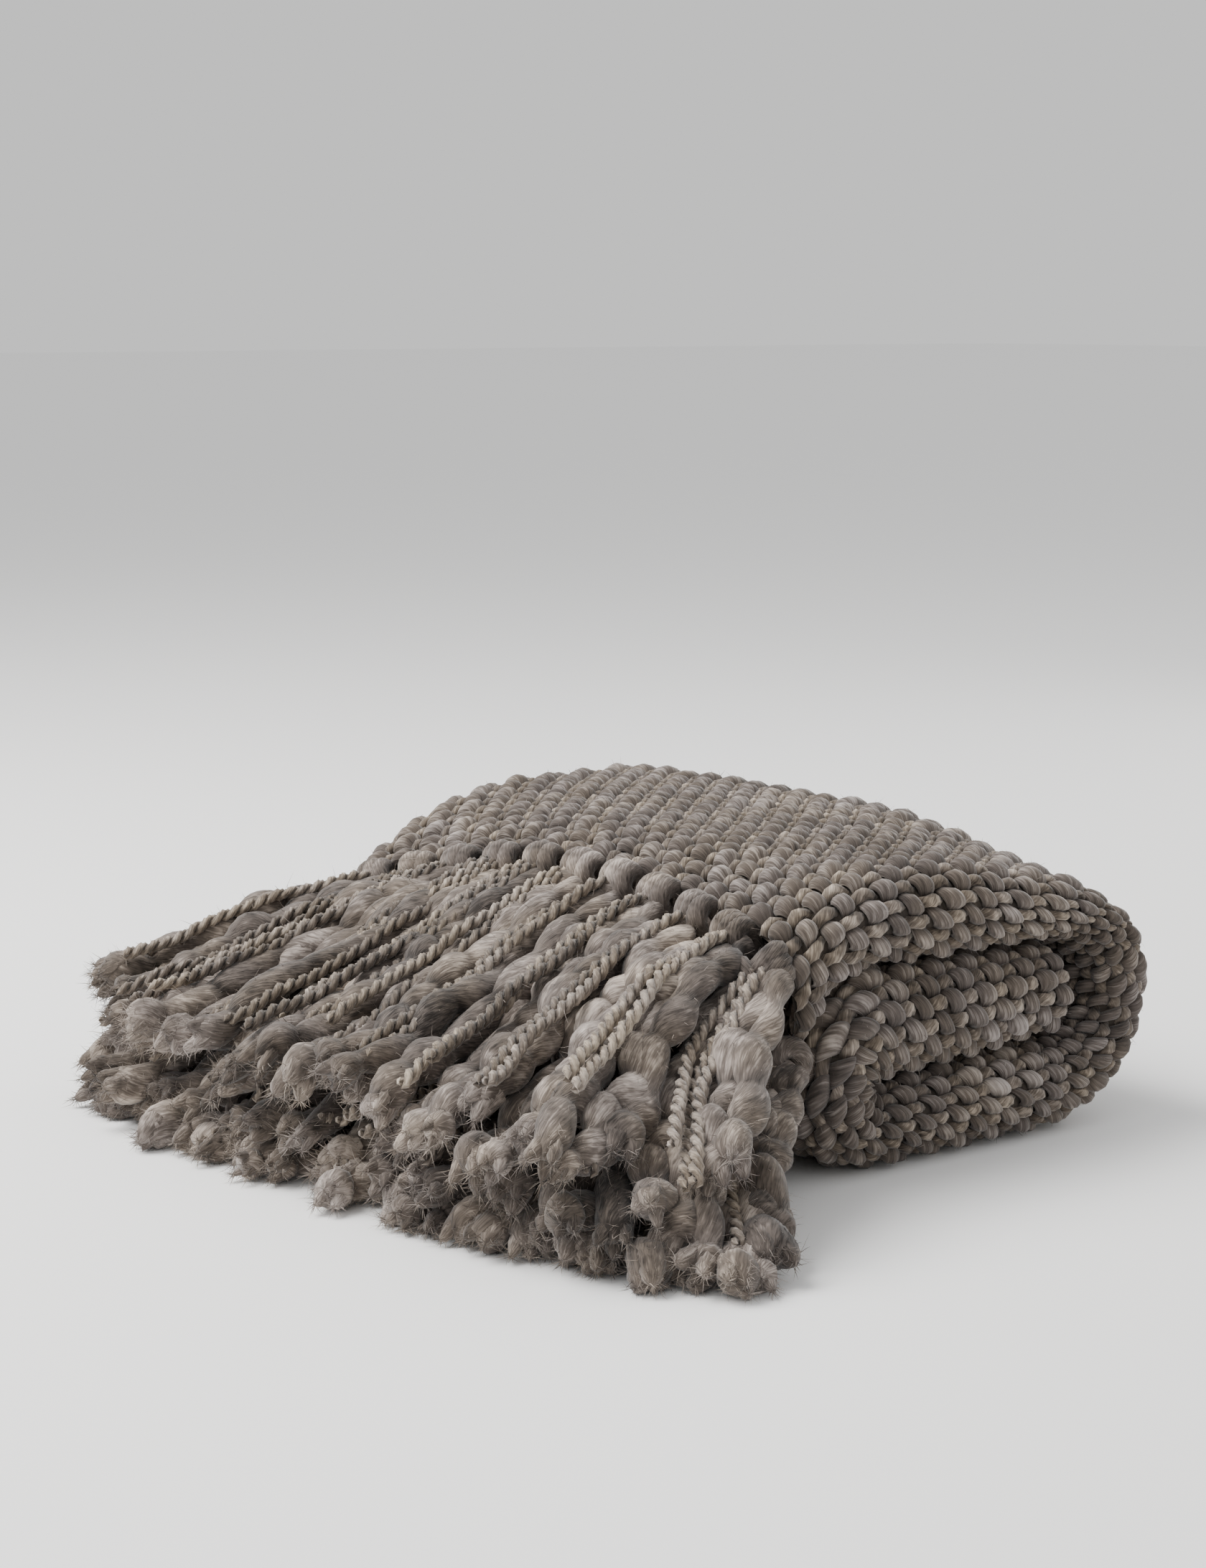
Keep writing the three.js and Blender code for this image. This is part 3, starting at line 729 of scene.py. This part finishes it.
def addKnot(root, across, along):
    over = np.cross(along, across)
    lean = chance.uniform(0.2, 0.55)
    steps = knotShape["steps"]
    turn = fullTurn * np.arange(steps + 1) / steps
    ring = eighthTurns
    for side in knotShape["loops"]:
        high = knotShape["high"] * chance.uniform(0.94, 1.1) - 0.03 * side ** 2
        path = root + np.outer(knotShape["long"] * np.cos(turn) + knotShape["shift"], along) + \
            np.outer(high * np.sin(turn), over) + np.outer(side + lean * knotShape["long"] * np.cos(turn), across)
        step = unit(np.gradient(path, axis=0))
        sideways = unit(across - step * (step @ across)[:, None])
        outer = np.cross(step, sideways)
        rings = path[:, None] + knotShape["radius"] * (np.cos(ring)[None, :, None] * sideways[:, None] +
                                                       np.sin(ring)[None, :, None] * outer[:, None])
        # painted shade: each loop is darker on its sides, where the loops of the knot press together
        tone = chance.uniform() - 0.5 * np.abs(np.cos(ring))
        fringeKnots.add(rings[None], (turn * knotShape["yarnStep"])[None], np.broadcast_to(tone, rings.shape[:2])[None])
        fringeSeeds.append(fibreSeeds(rings, path, 0.5 + 0 * turn))
    path = root + np.outer(knotShape["tieWide"] * np.cos(turn), across) + \
        np.outer(knotShape["tieHigh"] * np.sin(turn), over) + along * knotShape["tieAlong"]
    outer = np.cross(unit(np.gradient(path, axis=0)), along)
    rings = path[:, None] + knotShape["tie"] * (np.cos(ring)[None, :, None] * along +
                                                np.sin(ring)[None, :, None] * outer[:, None])
    tone = np.full((1, steps + 1), chance.uniform(-0.4, 0.4))
    fringeKnots.add(rings[None], (turn * knotShape["yarnStep"])[None], tone)


order = 0
distance = fringe["first"]
while distance < crossLength:
    order += 1
    point, across, along, out = edgeSeat(distance)
    root = point + along * (fringe["knotGap"] + fringe["knotAlong"] / 2)
    layer = next((row for row in drape if out > row["above"]), drape[-1])
    cornerShare = 1 - fringe["cornerCut"] * (root[1] / halfWidth) ** 4
    addKnot(root, across, along)
    sinks = (0.0, 0.9) if layer is not drape[-1] else (0.0, 0.0)
    longer = layer["longer"] * smooth(root[1] / halfWidth)
    for side, more in rovingPlaces + extraRovings.get(order, []):
        length = (layer["reach"] + more) * cornerShare + longer + fringe["raggedRovings"] * chance.uniform(-1, 1)
        sink = chance.uniform(*sinks)
        slubs = rovingStrand["slubs"][:1] if order > rovingStrand["shortSlubsAfter"] else rovingStrand["slubs"]
        slub = chance.choice(slubs) * chance.uniform(0.9, 1.1)
        addRoving(root, layer, side + chance.uniform(-2, 2), chance.uniform(-5, 5), sink, length, slub)
    strands = int(chance.choice((2, 2, 3, 3)))
    middle = chance.uniform(-7, 7)
    for i in range(strands):
        side = middle + (i - (strands - 1) / 2) * chance.uniform(6.2, 7.2)
        length = (layer["reach"] - fringe["cordsShorter"]) * cornerShare + longer
        length += fringe["raggedCords"] * chance.uniform(-1, 1)
        lift = fringe["cordLift"] + chance.uniform(-3, 2.5)
        addCord(root, layer, side, lift, sinks[1] * chance.uniform(0, 0.35), length)
    distance += fringe["pitch"]
knotsPiece = fringeKnots.build("fringe_knots", fringeWool)
rovingPiece = fringeRovings.build("fringe_rovings", fringeWool)
cordPiece = fringeCords.build("fringe_cords", cordWool)
print("fringe done,", order, "tassels")


# Loose fibres that stand off the wool

haze = {
    "bend": 0.45, "fringeCount": 30000, "tuftCount": 14000,
    "fringe": {"long": (2.5, 10), "wide": 0.3, "lean": (0.0, 1.0)},
    "tuft": {"long": (4, 11), "wide": 0.4, "lean": (0.2, 1.4)},
    "cloth": {"long": (2, 6.5), "wide": 0.26, "lean": (-0.8, 0.8)},
}


def pickSeeds(seeds, count):
    points, outward, forward, weight = [np.concatenate(part) for part in zip(*seeds)]
    chosen = chance.choice(len(points), count, p=weight / weight.sum())
    return points[chosen], outward[chosen], forward[chosen]


def growFibres(target, points, outward, forward, kind):
    count = len(points)
    push = outward * chance.uniform(0.2, 1, (count, 1)) + forward * chance.uniform(*kind["lean"], (count, 1))
    heading = unit(push + 0.35 * chance.normal(size=(count, 3)))
    size = chance.uniform(*kind["long"], (count, 1)) * chance.uniform(0.4, 1, (count, 1))
    curl = unit(chance.normal(size=(count, 3)))
    middle = points + heading * size * 0.5 + curl * size * haze["bend"] * 0.3
    tip = points + heading * size + curl * size * haze["bend"]
    sideways = unit(np.cross(heading, curl)) * chance.uniform(0.6, 1.2, (count, 1)) * kind["wide"] / 2
    path = np.stack([points, middle, tip], axis=1)
    widths = np.array([1.0, 0.75, 0.12])[None, :, None, None] * sideways[:, None, None, :]
    rings = onFloor(path[:, :, None] + np.concatenate([-widths, widths], axis=2), weave["floorGap"])
    along = np.linspace(0, 1, 3)[None] * size
    target.add(rings, along, np.repeat(chance.uniform(0.2, 1.5, (count, 1)), 3, axis=1), closed=False)


fringeFibres, clothFibres = RingMesh(), RingMesh()
growFibres(fringeFibres, *pickSeeds(fringeSeeds, haze["fringeCount"]), haze["fringe"])
growFibres(fringeFibres, *pickSeeds(tuftSeeds, haze["tuftCount"]), haze["tuft"])
growFibres(clothFibres, *[np.concatenate(part) for part in zip(*clothSeeds)], haze["cloth"])
fringeHaze = fringeFibres.build("fringe_fibres", fringeWool)
clothHaze = clothFibres.build("cloth_fibres", rovingWool)
print("fibres done")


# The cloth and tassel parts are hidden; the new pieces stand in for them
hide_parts("cloth")
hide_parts(*tasselNodes)


# The pale floor
floorLook = {"half": 28.0, "darker": (0.915, 0.915, 0.915, 1), "lighter": (0.955, 0.955, 0.955, 1)}
floorMesh = bpy.data.meshes.new("pale_floor")
corners = [(x * floorLook["half"], y * floorLook["half"], 0) for x, y in ((-1, -1), (1, -1), (1, 1), (-1, 1))]
floorMesh.from_pydata(corners, [], [(0, 1, 2, 3)])
paleFloor = bpy.data.objects.new("pale_floor", floorMesh)
bpy.context.scene.collection.objects.link(paleFloor)
plaster = bpy.data.materials.new("pale_plaster")
plaster.use_nodes = True
plasterShader = plaster.node_tree.nodes["Principled BSDF"]
plasterShader.inputs["Roughness"].default_value = 0.8
cloudy = addNode(plaster.node_tree, "ShaderNodeTexNoise", {"Scale": 3.0, "Detail": 4.0}).outputs[0]
tint = addNode(plaster.node_tree, "ShaderNodeMix", {0: cloudy, 6: floorLook["darker"], 7: floorLook["lighter"]},
               data_type="RGBA")
plaster.node_tree.links.new(tint.outputs[2], plasterShader.inputs["Base Color"])
floorMesh.materials.append(plaster)
